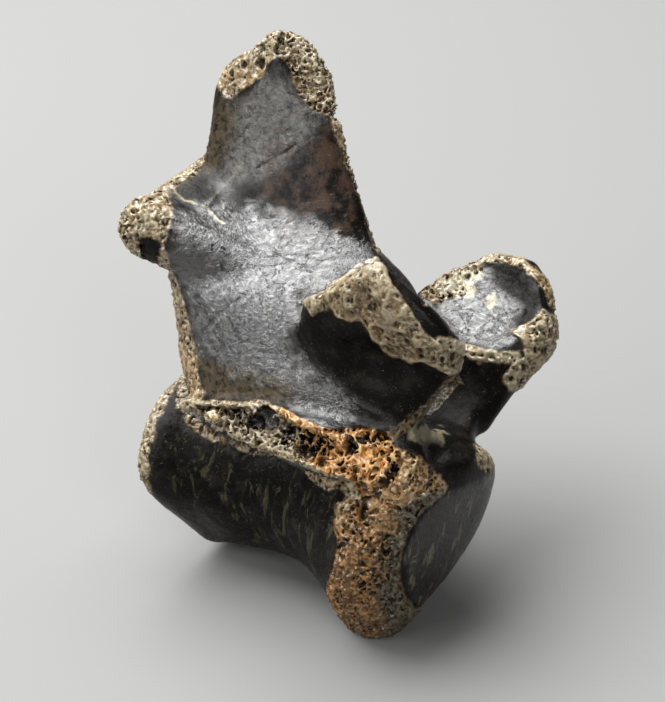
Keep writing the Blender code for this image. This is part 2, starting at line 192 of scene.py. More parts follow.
# The scar's floor comes up to its lower lip: a row of such fillings between two places.
lipBed = {
    "from": (-8.4, -14.1, 10.7),
    "to": (10.6, -13.9, 8.3),
    "count": 10,
    "radii": (1.7, 1.1, 1.2),
    "soft": 0.9,
}
first, last = np.array(lipBed["from"]), np.array(lipBed["to"])
for share in np.linspace(0, 1, lipBed["count"]):
    filled(field, {**lipBed, "at": first * (1 - share) + last * share})
for spec in fillings.values():
    filled(field, spec)
solid = field.copy()  # the whole bone before any damage
print("distance field", shape, "from", len(faces), "triangles")


# Noise and masks. The noise repeats after this many blobs or cells.
noiseRepeat = 32
wrap = noiseRepeat - 1


def table(seed):
    return np.random.default_rng(seed).random((noiseRepeat,) * 3, dtype=np.float32)


def clouds(at, size, seed):
    # soft noise from -1 to 1, with blobs of about size millimetres
    values = table(seed)
    spot = at / np.float32(size)
    base = np.floor(spot).astype(np.int32)
    part = spot - base
    part = part * part * (3 - 2 * part)
    total = np.zeros(at.shape[0], np.float32)
    for i in (0, 1):
        wi = part[:, 0] if i else 1 - part[:, 0]
        for j in (0, 1):
            wj = wi * (part[:, 1] if j else 1 - part[:, 1])
            for k in (0, 1):
                wk = wj * (part[:, 2] if k else 1 - part[:, 2])
                key = ((base[:, 0] + i) & wrap, (base[:, 1] + j) & wrap, (base[:, 2] + k) & wrap)
                total += wk * values[key]
    return total * 2 - 1


def cellWalls(at, size, seed):
    # distances to the nearest and the second nearest of scattered points, in millimetres
    offsets = [table(seed + n) for n in range(3)]
    spot = at / np.float32(size)
    base = np.floor(spot).astype(np.int32)
    part = spot - base
    first = np.full(at.shape[0], 9.0, np.float32)
    second = first.copy()
    for i in (-1, 0, 1):
        for j in (-1, 0, 1):
            for k in (-1, 0, 1):
                key = ((base[:, 0] + i) & wrap, (base[:, 1] + j) & wrap, (base[:, 2] + k) & wrap)
                gaps = [offsets[n][key] + step - part[:, n] for n, step in enumerate((i, j, k))]
                away = gaps[0] ** 2 + gaps[1] ** 2 + gaps[2] ** 2
                second = np.minimum(second, np.maximum(first, away))
                first = np.minimum(first, away)
    return np.sqrt(first) * size, np.sqrt(second) * size


def smooth(value, low, high):
    # from 0 at low to 1 at high, with soft ends
    t = np.clip((value - low) / (high - low), 0, 1)
    return t * t * (3 - 2 * t)


mmPerPixel = viewpoint["distance"] / viewpoint["focal"]
outlineStep, lineStep = 2, 1  # pixels between a chart's values
farAway = 1e9


def pictureGrid(step):
    return np.meshgrid(*[np.arange(0, size, float(step)) for size in viewpoint["pixels"]], indexing="ij")


def nearestTo(line, x, y):
    # distance from an open line, in millimetres
    nearest = np.full(x.shape, farAway)
    for (ax, ay), (bx, by) in zip(line, line[1:]):
        run, rise = bx - ax, by - ay
        along = np.clip(((x - ax) * run + (y - ay) * rise) / (run ** 2 + rise ** 2), 0, 1)
        nearest = np.minimum(nearest, np.hypot(x - ax - along * run, y - ay - along * rise))
    return nearest * mmPerPixel


def outlineField(outline):
    # how far inside an outline the picture's points lie, in millimetres
    x, y = pictureGrid(outlineStep)
    closed = outline + outline[:1]
    inside = np.zeros(x.shape, bool)
    for (ax, ay), (bx, by) in zip(closed, closed[1:]):
        if ay != by:
            inside ^= ((ay > y) != (by > y)) & (x < (bx - ax) * (y - ay) / (by - ay) + ax)
    nearest = nearestTo(closed, x, y)
    return np.where(inside, nearest, -nearest)


def lineField(line):
    return nearestTo(line, *pictureGrid(lineStep))


def looked(chart, across, down, step):
    # a chart of the picture read at pixels, between its points
    x = np.clip(across / step, 0, chart.shape[0] - 1.001)
    y = np.clip(down / step, 0, chart.shape[1] - 1.001)
    i, j = x.astype(np.int32), y.astype(np.int32)
    fx, fy = x - i, y - j
    above = chart[i, j] * (1 - fx) + chart[i + 1, j] * fx
    below = chart[i, j + 1] * (1 - fx) + chart[i + 1, j + 1] * fx
    return above * (1 - fy) + below * fy


# Broken and worn places as they are seen from the camera: each outline in pixels, and how ragged
# and how wide its edge is, in millimetres.
seenPlaces = {
    "spineLeft": {
        "ragged": 0.35, "edge": 0.3,
        "outline": [
            (214, 84), (221, 66), (236, 58), (240, 42), (254, 34), (268, 24), (287, 22), (283, 50),
            (276, 56), (268, 62), (262, 76), (252, 84), (240, 92), (232, 98), (224, 96),
        ],
    },
    "spineRight": {
        "ragged": 0.35, "edge": 0.3,
        "outline": [
            (276, 53), (278, 40), (287, 24), (304, 30), (320, 48), (333, 64), (340, 84), (344, 102),
            (349, 122), (341, 124), (330, 114), (312, 109), (300, 96), (293, 84), (291, 70), (285, 60),
        ],
    },
    "spineEdge": {
        "ragged": 0.4, "edge": 0.35,
        "outline": [
            (330, 112), (344, 112), (354, 138), (363, 160), (369, 182), (374, 206), (380, 236), (386, 256),
            (376, 250), (367, 226), (360, 200), (351, 176), (342, 152), (334, 130),
        ],
    },
    "knob": {
        "ragged": 0.5, "edge": 0.5,
        "outline": [
            (158, 187), (140, 194), (124, 204), (114, 220), (117, 238), (129, 252), (141, 262), (146, 246),
            (158, 240), (163, 250), (168, 232), (174, 214), (170, 200),
        ],
    },
    "rimStrip": {
        "ragged": 0.35, "edge": 0.35,
        "outline": [
            (156, 250), (162, 290), (166, 312), (172, 334), (176, 352), (178, 382), (176, 408), (188, 412),
            (200, 404), (204, 392), (198, 374), (196, 350), (190, 326), (186, 306), (178, 284), (170, 262),
            (164, 248),
        ],
    },
    "plateau": {
        "ragged": 0.25, "edge": 0.22,
        "outline": [
            (299, 302), (308, 297), (322, 291), (340, 278), (358, 264), (377, 256), (386, 267), (393, 284),
            (403, 299), (416, 317), (427, 333), (440, 344), (454, 351), (464, 360), (462, 372), (450, 376),
            (440, 371), (430, 366), (420, 362), (410, 364), (400, 358), (392, 357), (384, 352), (378, 344),
            (372, 341), (368, 330), (360, 321), (350, 322), (344, 320), (336, 317), (331, 309), (320, 311),
            (312, 316), (307, 308),
        ],
    },
    "nearHollow": {
        "ragged": 0.1, "edge": 1.2,
        "outline": [
            (303, 310), (312, 318), (320, 313), (330, 312), (336, 320), (345, 323), (358, 326), (367, 334),
            (374, 345), (384, 358), (400, 363), (420, 365), (438, 375), (440, 385), (428, 402), (416, 412),
            (400, 420), (384, 414), (360, 402), (338, 382), (320, 356), (306, 330),
        ],
    },
    "nearRim": {
        "ragged": 0.2, "edge": 0.25,
        "outline": [
            (450, 374), (462, 370), (459, 382), (448, 396), (440, 406), (428, 416), (412, 428), (400, 436),
            (388, 446), (382, 438), (396, 427), (408, 418), (424, 406), (434, 394), (442, 384),
        ],
    },
    "farFacet": {
        "ragged": 0.2, "edge": 1.0,
        "outline": [
            (440, 300), (446, 285), (462, 275), (478, 270), (500, 268), (520, 272), (534, 282), (540, 296),
            (538, 316), (528, 332), (514, 344), (494, 348), (470, 342), (450, 332), (441, 318),
        ],
    },
    "farLump": {
        "ragged": 0.4, "edge": 0.35,
        "outline": [
            (512, 330), (530, 322), (543, 308), (558, 316), (562, 340), (554, 358), (542, 368), (532, 378),
            (524, 390), (508, 392), (503, 378), (512, 366), (524, 356), (522, 342),
        ],
    },
    "farRim": {
        "ragged": 0.35, "edge": 0.3,
        "outline": [
            (436, 336), (452, 338), (470, 344), (486, 350), (502, 352), (520, 350), (524, 360), (508, 364),
            (490, 362), (470, 358), (452, 350), (438, 346),
        ],
    },
    "farBrim": {
        "ragged": 0.35, "edge": 0.3,
        "outline": [
            (480, 250), (500, 250), (518, 248), (530, 264), (546, 276), (558, 290), (558, 312), (548, 306),
            (544, 292), (536, 280), (524, 270), (512, 264), (496, 262), (482, 262),
        ],
    },
    "farPits": {
        "ragged": 0.5, "edge": 0.3,
        "outline": [
            (420, 292), (438, 276), (456, 264), (474, 256), (484, 262), (480, 274), (464, 280), (468, 294),
            (458, 300), (446, 298), (436, 304), (424, 304),
        ],
    },
    "trough": {
        "ragged": 0.2, "edge": 0.3,
        "outline": [
            (189, 408), (200, 405), (216, 407), (232, 409), (246, 408), (262, 408), (278, 411), (290, 420),
            (302, 427), (314, 431), (318, 450), (312, 466), (300, 458), (284, 450), (262, 446), (246, 441),
            (234, 435), (216, 432), (202, 424), (192, 416),
        ],
    },
    "network": {
        "ragged": 0.3, "edge": 0.6,
        "outline": [
            (300, 426), (322, 433), (345, 429), (366, 428), (384, 434), (394, 444), (402, 460), (396, 480),
            (380, 494), (364, 500), (352, 480), (338, 474), (326, 474), (306, 462),
        ],
    },
    "tanCorner": {
        "ragged": 0.3, "edge": 0.4,
        "outline": [
            (392, 446), (410, 452), (428, 464), (440, 474), (447, 487), (444, 494), (436, 494), (418, 500),
            (398, 508), (380, 512), (366, 506), (372, 490), (388, 470),
        ],
    },
    "upperLip": {
        "ragged": 0.3, "edge": 0.2,
        "outline": [
            (182, 403), (190, 396), (204, 400), (224, 401), (242, 402), (258, 400), (270, 404), (284, 408),
            (298, 416), (316, 426), (336, 430), (330, 436), (310, 432), (296, 425), (280, 414), (264, 408),
            (246, 407), (228, 408), (208, 405), (192, 409),
        ],
    },
    "lowerLip": {
        "ragged": 0.3, "edge": 0.25,
        "outline": [
            (180, 404), (187, 404), (194, 412), (204, 420), (218, 428), (235, 431), (248, 437), (264, 442),
            (284, 446), (300, 454), (314, 463), (328, 471), (344, 471), (356, 484), (362, 498), (352, 507),
            (344, 514), (340, 526), (335, 524), (338, 508), (346, 496), (340, 488), (328, 491), (312, 481),
            (302, 469), (288, 461), (264, 456), (244, 452), (232, 445), (212, 442), (198, 434), (187, 423),
        ],
    },
    "crust": {
        "ragged": 0.25, "edge": 0.25,
        "outline": [
            (336, 505), (348, 498), (362, 500), (380, 510), (400, 506), (424, 492), (446, 488), (442, 497),
            (430, 505), (419, 516), (410, 530), (404, 544), (400, 562), (401, 580), (405, 596), (416, 607),
            (432, 610), (424, 626), (405, 646), (386, 650), (358, 640), (340, 626), (328, 606), (325, 592),
            (330, 576), (335, 560), (337, 545), (334, 524),
        ],
    },
    "rustPlate": {
        "ragged": 1.6, "edge": 2.0,
        "outline": [
            (276, 124), (310, 118), (340, 140), (354, 180), (362, 226), (330, 240), (290, 232), (262, 200),
            (268, 160),
        ],
    },
    "brownEdge": {
        "ragged": 0.8, "edge": 2.0,
        "outline": [
            (222, 92), (236, 98), (238, 130), (228, 160), (204, 176), (186, 184), (176, 178), (202, 150),
            (212, 118),
        ],
    },
    "greyPlate": {
        "ragged": 1.0, "edge": 3.0,
        "outline": [
            (236, 106), (262, 80), (288, 76), (304, 104), (322, 124), (300, 150), (262, 176), (226, 196),
            (210, 190), (230, 150),
        ],
    },
    "lamina": {
        "ragged": 2.2, "edge": 2.6,
        "outline": [
            (176, 206), (206, 210), (240, 206), (300, 226), (372, 242), (384, 262), (340, 276), (302, 298),
            (296, 322), (284, 350), (310, 372), (350, 404), (346, 426), (310, 414), (282, 388), (236, 372),
            (200, 356), (184, 310), (168, 262), (176, 236),
        ],
    },
    "brownArch": {
        "ragged": 0.6, "edge": 1.2,
        "outline": [
            (196, 356), (240, 366), (280, 376), (300, 392), (286, 400), (240, 398), (204, 396),
        ],
    },
    "head": {
        "ragged": 0.4, "edge": 0.6,
        "outline": [
            (404, 560), (420, 520), (440, 497), (470, 484), (500, 470), (500, 500), (484, 540), (452, 596),
            (430, 612), (412, 602),
        ],
    },
    "side": {
        "ragged": 0.4, "edge": 1.0,
        "outline": [
            (190, 436), (236, 450), (300, 472), (334, 496), (332, 560), (320, 584), (270, 556), (204, 540),
            (176, 510), (164, 440),
        ],
    },
    "yellowSpots": {
        "ragged": 0.8, "edge": 0.3,
        "outline": [
            (444, 284), (460, 276), (474, 284), (476, 298), (460, 300), (446, 296),
        ],
    },
    "yellowSpotTop": {
        "ragged": 0.4, "edge": 0.3,
        "outline": [
            (468, 272), (478, 268), (483, 276), (476, 281), (469, 279),
        ],
    },
    "whiteSpot": {
        "ragged": 0.5, "edge": 0.3,
        "outline": [
            (486, 294), (494, 292), (496, 304), (490, 310), (485, 304),
        ],
    },
    "greenPatch": {
        "ragged": 1.2, "edge": 0.8,
        "outline": [
            (404, 432), (420, 426), (442, 430), (444, 440), (424, 444), (406, 442),
        ],
    },
    "headTan": {
        "ragged": 0.6, "edge": 0.4,
        "outline": [
            (474, 446), (486, 438), (498, 446), (500, 462), (490, 474), (478, 466),
        ],
    },
    "canal": {
        "ragged": 0.3, "edge": 1.2,
        "outline": [
            (410, 400), (436, 384), (462, 372), (500, 372), (506, 392), (498, 430), (474, 444), (446, 430),
            (424, 420),
        ],
    },
    "plateauDim": {
        "ragged": 1.2, "edge": 1.6,
        "outline": [
            (312, 300), (340, 292), (366, 284), (380, 296), (392, 318), (416, 342), (440, 362), (440, 371),
            (400, 358), (384, 352), (368, 330), (344, 320), (322, 310),
        ],
    },
    "knobFacet": {
        "ragged": 0.3, "edge": 0.3,
        "outline": [
            (138, 240), (150, 236), (161, 244), (158, 264), (142, 262),
        ],
    },
}
seenCharts = {name: outlineField(spec["outline"]).astype(np.float32) for name, spec in seenPlaces.items()}

# Cracks, root lines and seams, as open lines in pixels.
seenLines = {
    "spineCrack": [(258, 168), (268, 162), (277, 156), (288, 151), (296, 144)],
    "archCrack": [(247, 292), (240, 299), (228, 307), (216, 318), (205, 330), (201, 338)],
    "archBranch": [(224, 312), (230, 322), (234, 334), (240, 346)],
    "rootLine": [
        (172, 186), (177, 194), (184, 200), (195, 203), (205, 206), (212, 213), (218, 220), (224, 223),
    ],
    "paleStreak": [(203, 207), (212, 198), (224, 186), (234, 174), (241, 165)],
}
lineCharts = {name: lineField(line).astype(np.float32) for name, line in seenLines.items()}


def within(points, across, down, reach=14):
    # which pixels lie in or near the box round an outline
    left, right = min(p[0] for p in points) - reach, max(p[0] for p in points) + reach
    top, bottom = min(p[1] for p in points) - reach, max(p[1] for p in points) + reach
    return np.flatnonzero((across > left) & (across < right) & (down > top) & (down < bottom))


def chartPlace(chart, across, down, ahead):
    # a chart's rows and columns for pixels, kept inside it
    return tuple(
        np.clip((pixels / outlineStep + more).astype(int), 0, size - 1)
        for pixels, more, size in zip((across, down), ahead, chart.shape)
    )


def nearestSurface():
    # how far from the eye the whole bone is first met
    thin = np.flatnonzero(np.abs(solid.ravel()) < 0.6 * voxel)
    spots = np.stack(np.unravel_index(thin, shape), 1) * voxel + low
    across, down, far = pixelOf(spots)
    chart = np.full([size // outlineStep + 2 for size in viewpoint["pixels"]], farAway)
    for ahead in ((0, 0), (0, 1), (1, 0), (1, 1)):
        np.minimum.at(chart, chartPlace(chart, across, down, ahead), far)
    return chart


metFirst = nearestSurface()

# How far behind the first surface, in millimetres, the outlines and the lines fade out.
sight = {"outlines": (3.4, 4.6), "lines": (1.2, 2.0), "lineEdge": (0.03, 0.20), "lineRagged": 0.10}

# Worn places of the side that the camera doesn't see, in the bone's own frame.
hiddenPlaces = {
    "top": {"range": (54.0, 55.0), "ragged": 1.6, "slope": 0.18, "middle": -14},
    "corners": {"at": (-26, 13.2, 34.4), "ragged": 1.2, "knobLeft": (4.6, 5.6), "knobBack": (4.2, 5.0)},
    "leftTip": {"range": (26.6, 27.8), "ragged": 1.3},
    "caudalRim": {"range": (-19.6, -19.0), "ragged": 0.7, "slope": 0.10, "middle": 2},
}


def masksAt(own, seed=5):
    # every mask at points of the bone's own frame, from 0 to 1
    across, down, far = (part.astype(np.float32) for part in pixelOf(own))
    behind = far - metFirst[chartPlace(metFirst, across, down, (0.5, 0.5))]
    shown = 1 - smooth(behind, *sight["outlines"])
    at = own.astype(np.float32)
    rough = clouds(at, 1.5, seed) * 0.6 + clouds(at, 0.6, seed + 1) * 0.4
    x, y, z = at[:, 0], at[:, 1], at[:, 2]
    found = {}
    for name, spec in seenPlaces.items():
        pick = within(spec["outline"], across, down)
        inside = looked(seenCharts[name], across[pick], down[pick], outlineStep)
        inside = inside + rough[pick] * spec["ragged"]
        found[name] = np.zeros(len(at), np.float32)
        found[name][pick] = smooth(inside, -spec["edge"] / 2, spec["edge"] / 2) * shown[pick]
    for name, chart in lineCharts.items():
        pick = within(seenLines[name], across, down)
        near = looked(chart, across[pick], down[pick], lineStep) + rough[pick] * sight["lineRagged"]
        met = 1 - smooth(behind[pick], *sight["lines"])
        found[name] = np.zeros(len(at), np.float32)
        found[name][pick] = (1 - smooth(near, *sight["lineEdge"])) * met
    unseen = 1 - shown
    found["shown"] = shown
    top, corners = hiddenPlaces["top"], hiddenPlaces["corners"]
    tip, rim = hiddenPlaces["leftTip"], hiddenPlaces["caudalRim"]
    height = z + rough * top["ragged"] - top["slope"] * np.abs(x - top["middle"])
    found["topAll"] = smooth(height, *top["range"]) * unseen
    for name, side, where in (("knobLeft", 1, 1), ("knobBack", -1, unseen)):
        centre = np.array(corners["at"], np.float32) * np.array((1, side, 1), np.float32)
        away = np.sqrt(((at - centre) ** 2).sum(1)) + rough * corners["ragged"]
        found[name] = (1 - smooth(away, *corners[name])) * where
    found["leftTip"] = smooth(y + rough * tip["ragged"], *tip["range"])
    length = x + rough * rim["ragged"] + rim["slope"] * np.abs(z - rim["middle"])
    found["caudalRim"] = 1 - smooth(length, *rim["range"])
    return found


# Damage cut into the field
def bandPoints():
    band = np.flatnonzero((field.ravel() > -skinGrain["band"]) & (field.ravel() < skinGrain["outer"]))
    steps = np.stack(np.unravel_index(band, shape), 1).astype(np.float32)
    return band, steps * np.float32(voxel) + low.astype(np.float32)


band, own = bandPoints()
masks = masksAt(own)
depth = field.ravel()[band]
print("masks over", len(band), "voxels")

# The cortex's slow unevenness: blob size and height in millimetres.
unevenness = {"broad": (7.0, 0.16), "middle": (2.6, 0.07), "fine": (1.1, 0.03)}
seeds = {"uneven": 20, "grains": 40, "cells": 100}
leastMask = 0.02  # fainter parts of a mask are left alone
for number, (size, height) in enumerate(unevenness.values()):
    depth = depth + clouds(own, size, seeds["uneven"] + number) * height


def steppedBack(name, amount):
    # a place set back by an amount, or raised where it is negative
    global depth
    depth = depth + masks[name] * amount


def spongy(name, cell, wall, deep, seed):
    # open cells with thin uneven walls, down to deep millimetres, and finer cells between them
    global depth
    pick = np.flatnonzero(masks[name] > leastMask)
    bend = np.stack([clouds(own[pick], cell * 1.1, seed + n) for n in (6, 7, 8)], 1)
    bent = own[pick] + bend * np.float32(cell * 0.42)
    thickness = wall * (1 + 0.7 * clouds(bent, cell * 2.2, seed + 9))
    for scale, share in ((1.0, 1.0), (0.52, 0.4)):
        first, second = cellWalls(bent, cell * scale, seed)
        hollow = (second - first - thickness * scale) * 0.8
        floor = depth[pick] + masks[name][pick] * deep * share
        depth[pick] = np.maximum(depth[pick], np.minimum(hollow, floor))


def grainy(name, size, height, seed):
    # sharp little crests over soft dips
    global depth
    pick = np.flatnonzero(masks[name] > leastMask)
    spots = own[pick]
    large, little = clouds(spots, size, seed), clouds(spots, size * 0.45, seed + 1)
    bumps = 0.75 - np.abs(large) * 1.2 - np.abs(little) * 0.8
    depth[pick] = depth[pick] - bumps * height * masks[name][pick]


def ownPoint(across, down, sink=0.0):
    # the point of the whole bone's surface met at a pixel, sunk by some millimetres along the view
    far = metFirst[int(round(across / outlineStep)), int(round(down / outlineStep))] + sink
    right, below = across - viewpoint["pixels"][0] / 2, down - viewpoint["pixels"][1] / 2
    ray = (sideways * right - upwards * below) / viewpoint["focal"] - backwards
    return toOwn((eye + ray * far)[None, :])[0]


def bored(across, down, radius, sink):
    # a roundish hole that opens at a pixel
    global depth
    centre = ownPoint(across, down, sink).astype(np.float32)
    pick = np.flatnonzero((np.abs(own - centre) < radius * 1.5).all(1))
    gap = np.sqrt(((own[pick] - centre) ** 2).sum(1)) * (1 + 0.25 * clouds(own[pick], radius * 1.2, 91))
    depth[pick] = np.maximum(depth[pick], radius - gap)


# Each broken place: how far it lies back, its grains (size, height) and its cells (size, wall,
# depth), in millimetres.
damage = {
    "spineLeft": {"back": 0.1, "grains": (0.8, 0.3), "cells": (0.95, 0.34, 0.45)},
    "spineRight": {"back": 0.15, "grains": (0.7, 0.3), "cells": (0.85, 0.24, 0.8)},
    "spineEdge": {"back": 0.1, "grains": (0.8, 0.35), "cells": (0.8, 0.24, 0.8)},
    "topAll": {"back": 0.05, "grains": (0.7, 0.3), "cells": (0.85, 0.26, 0.7)},
    "knob": {"back": 0.0, "grains": (0.75, 0.4), "cells": (0.7, 0.32, 0.35)},
    "knobLeft": {"back": 0.0, "grains": (0.75, 0.4), "cells": (0.7, 0.32, 0.35)},
    "rimStrip": {"back": -0.05, "grains": (0.9, 0.4), "cells": (0.9, 0.36, 0.25)},
    "plateau": {"back": -0.3, "grains": (1.8, 0.5), "cells": (0.6, 0.3, 0.1)},
    "nearHollow": {"back": 0.25},
    "nearRim": {"back": 0.0, "grains": (0.8, 0.22)},
    "farFacet": {"back": 0.2, "grains": (1.7, 0.22)},
    "farLump": {"back": -0.35, "grains": (1.3, 0.75), "cells": (0.7, 0.34, 0.25)},
    "farRim": {"back": -0.12, "grains": (0.7, 0.5), "cells": (0.7, 0.36, 0.25)},
    "farBrim": {"back": -0.1, "grains": (0.8, 0.5), "cells": (0.8, 0.36, 0.2)},
    "farPits": {"back": 0.1, "grains": (1.1, 0.45), "cells": (1.2, 0.3, 1.0)},
    "trough": {"back": 0.35, "grains": (1.2, 0.6), "cells": (1.2, 0.26, 1.0)},
    "network": {"back": 0.1, "grains": (1.2, 0.5), "cells": (1.25, 0.24, 1.5)},
    "tanCorner": {"back": 0.1, "grains": (0.7, 0.3), "cells": (0.7, 0.22, 0.6)},
    "upperLip": {"back": -0.05, "grains": (0.65, 0.6), "cells": (0.7, 0.34, 0.5)},
    "lowerLip": {"back": -0.05, "grains": (0.65, 0.55), "cells": (0.7, 0.34, 0.3)},
    "crust": {"back": -0.2, "grains": (0.8, 0.6), "cells": (0.8, 0.26, 0.45)},
    "headTan": {"back": 0.0, "grains": (0.8, 0.35), "cells": (0.8, 0.34, 0.35)},
    "greenPatch": {"back": -0.05, "grains": (0.6, 0.35)},
    "leftTip": {"back": 0.3, "grains": (0.7, 0.3), "cells": (0.85, 0.22, 1.2)},
    "caudalRim": {"back": 0.05, "grains": (0.7, 0.3), "cells": (0.7, 0.28, 0.4)},
}
for number, (name, spec) in enumerate(damage.items()):
    steppedBack(name, spec.get("back", 0))
    if "grains" in spec:
        grainy(name, *spec["grains"], seeds["grains"] + 2 * number)
    if "cells" in spec:
        spongy(name, *spec["cells"], seeds["cells"] + 5 * number)

# Single holes: pixel across and down, radius, and how far in the centre lies.
holes = {
    "spineRound": (260, 48, 0.75, 0.4),
    "spineLong": (262, 64, 0.7, 0.5),
    "spineSmall": (247, 52, 0.55, 0.3),
    "spineLow": (244, 64, 0.5, 0.3),
    "scarDeep": (267, 419, 1.9, 1.4),
    "scarDeepLeft": (257, 422, 1.2, 1.4),
    "scarMiddle": (290, 431, 0.9, 0.8),
    "scarSecond": (304, 446, 1.0, 0.8),
    "scarRight": (352, 446, 1.3, 1.0),
    "scarRightHigh": (364, 438, 1.0, 0.8),
    "scarLow": (347, 455, 0.6, 0.5),
    "scarUnder": (364, 511, 0.9, 0.5),
}
for across, down, radius, sink in holes.values():
    bored(across, down, radius, sink)

lineDepths = {
    "spineCrack": 0.16,
    "archCrack": 0.22,
    "archBranch": 0.12,
    "rootLine": -0.14,
    "paleStreak": -0.06,
}
for name, amount in lineDepths.items():
    steppedBack(name, amount)

carved = field.ravel().copy()
carved[band] = depth
carved = np.clip(carved.reshape(shape), -skinGrain["band"], skinGrain["band"])
print("damage cut")


# The skin's mesh
def skinSurface():
    grid = vdb.FloatGrid(skinGrain["band"])
    grid.copyFromArray(carved, tolerance=0.0)
    grid.gridClass = vdb.GridClass.LEVEL_SET
    return grid.convertToPolygons(isovalue=0.0, adaptivity=0.0)


def largestPart(count, faceSets):
    # vertices of the largest connected part
    label = np.arange(count)
    a = np.concatenate([faces.ravel() for faces in faceSets])
    b = np.concatenate([np.roll(faces, -1, axis=1).ravel() for faces in faceSets])
    while True:
        least = np.minimum(label[a], label[b])
        before = label.copy()
        np.minimum.at(label, a, least)
        np.minimum.at(label, b, least)
        np.minimum.at(label, before, label.copy())
        label = label[label]
        if (label == before).all():
            break
    names, sizes = np.unique(label, return_counts=True)
    return label == names[np.argmax(sizes)]


def skinMesh():
    spots, triangles, quads = skinSurface()
    kept = largestPart(len(spots), [triangles, quads])
    renumber = np.cumsum(kept) - 1
    triangles = renumber[triangles[kept[triangles[:, 0]]]] if len(triangles) else np.empty((0, 3), int)
    quads = renumber[quads[kept[quads[:, 0]]]]
    spots = toRow(spots[kept].astype(float) * voxel + low) * 0.001
    spots[:, 2] = np.maximum(spots[:, 2], 0)  # the worn feet lie flat on the table
    mesh = bpy.data.meshes.new("bone_skin")
    mesh.from_pydata(spots.tolist(), [], triangles[:, ::-1].tolist() + quads[:, ::-1].tolist())
    mesh.validate()
    skin = bpy.data.objects.new("bone_skin", mesh)
    bpy.context.scene.collection.objects.link(skin)
    total = len(triangles) + 2 * len(quads)
    if total > skinGrain["faces"]:
        thin = skin.modifiers.new("thin", "DECIMATE")
        thin.ratio = skinGrain["faces"] / total
        graph = bpy.context.evaluated_depsgraph_get()
        slim = bpy.data.meshes.new_from_object(skin.evaluated_get(graph))
        skin.modifiers.clear()
        skin.data = slim
        slim.name = "bone_skin"
    skin.data.polygons.foreach_set("use_smooth", [True] * len(skin.data.polygons))
    print("skin", total, "triangles, thinned to", len(skin.data.polygons))
    return skin


skin = skinMesh()


def sampled(chart, own):
    # a field read at points, between its voxels
    spot = np.clip((own - low) / voxel, 0, np.array(shape) - 1.001)
    base = spot.astype(np.int32)
    part = spot - base
    total = np.zeros(len(own))
    for i in (0, 1):
        for j in (0, 1):
            for k in (0, 1):
                weight = np.abs(1 - i - part[:, 0]) * np.abs(1 - j - part[:, 1]) * np.abs(1 - k - part[:, 2])
                total += weight * chart[base[:, 0] + i, base[:, 1] + j, base[:, 2] + k]
    return total


# Places of bare spongy bone.
wornPlaces = (
    "spineLeft", "spineRight", "spineEdge", "topAll", "knob", "knobLeft", "knobBack", "rimStrip",
    "plateau", "nearRim", "farLump", "farRim", "farBrim", "farPits", "trough", "network", "tanCorner",
    "upperLip", "lowerLip", "leftTip", "caudalRim", "headTan",
)

# How much each place adds to a tint of the material.
tints = {
    "crust": {"crust": 1},
    "ochre": {"tanCorner": 0.45},
    "olive": {"greenPatch": 1},
    "dim": {"nearRim": 1, "plateauDim": 0.55},
    "cream": {
        "paleStreak": 0.12, "yellowSpotTop": 0.8, "whiteSpot": 0.65, "greenPatch": 0.3,
        "tanCorner": 0.08, "farRim": 0.25,
    },
    "crack": {"spineCrack": 1, "archCrack": 1, "archBranch": 1},
    "rust": {"rustPlate": 1},
    "brown": {"brownEdge": 0.8, "brownArch": 1},
    "grey": {"greyPlate": 1, "head": 0.1},
    "gloss": {"lamina": 1, "head": 0.35, "greyPlate": 0.2, "trough": 0.9},
    "dull": {"side": 1, "nearHollow": 1, "canal": 1},
    "streaks": {"head": 1, "side": 0.3},
}

# Where one tint goes over into another, in pixels across the picture.
borders = {
    "orangeFloor": (290, 320),
    "greyFloor": (290, 330),
    "orangeLip": (262, 290),
    "greenCrust": (372, 400),
    "darkFacet": (494, 516),
}


def vertexMasks():
    # the masks as attributes of the skin, for the material to read
    mesh = skin.data
    spots = np.empty(len(mesh.vertices) * 3)
    mesh.vertices.foreach_get("co", spots)
    at = toOwn(spots.reshape(-1, 3) * 1000)
    seen = masksAt(at)
    soft = blurred(blurred(carved, 1), 1)
    # how far the surface lies below the whole bone, and how far it stands out in crests or sinks in hollows:
    # the material reads these for painted shade in hollows and deep holes and a painted highlight on crests
    broad = {
        "sunk": np.clip(-sampled(solid, at), 0, 3),
        "ridge": np.clip(sampled(soft, at) * 9, -1, 1),
    }
    worn = np.zeros(len(at))
    for name in wornPlaces:
        worn = np.maximum(worn, seen[name])
    broad["worn"] = worn * (1 - seen["knobFacet"])
    for name, parts in tints.items():
        broad[name] = sum(seen[place] * share for place, share in parts.items())

    # some tints change over across the picture, along a ragged border
    across, down = pixelOf(at)[:2]
    drift = clouds(at.astype(np.float32), 2.0, 71)
    orangeFloor = seen["trough"] * smooth(across + drift * 12, *borders["orangeFloor"])
    orangeLip = seen["upperLip"] * smooth(across, *borders["orangeLip"])
    darkFloor = seen["trough"] * (1 - smooth(across, *borders["greyFloor"]))
    greenSide = smooth(across + (down - 560) * 0.15 + drift * 14, *borders["greenCrust"])
    shaded = seen["farFacet"] * smooth(across - (down - 290) * 0.5 + drift * 10, *borders["darkFacet"])
    broad["ochre"] += np.maximum(seen["network"], orangeFloor) + orangeLip
    broad["olive"] += seen["crust"] * greenSide
    broad["dim"] += darkFloor * 0.35
    broad["cream"] += seen["rootLine"] * (0.3 + 0.6 * smooth(drift, -0.5, 0.2))
    broad["cream"] += seen["yellowSpots"] * smooth(drift, -0.2, 0.5)
    broad["gloss"] += 0.4 * (1 - seen["shown"]) + seen["farFacet"] - shaded * 0.85
    broad["dull"] += shaded * 0.9
    for name in tints:
        broad[name] = np.clip(broad[name], 0, 1)
    for name, values in broad.items():
        attribute = mesh.attributes.new(name, "FLOAT", "POINT")
        attribute.data.foreach_set("value", values.astype(np.float32))


vertexMasks()
print("masks on the skin")

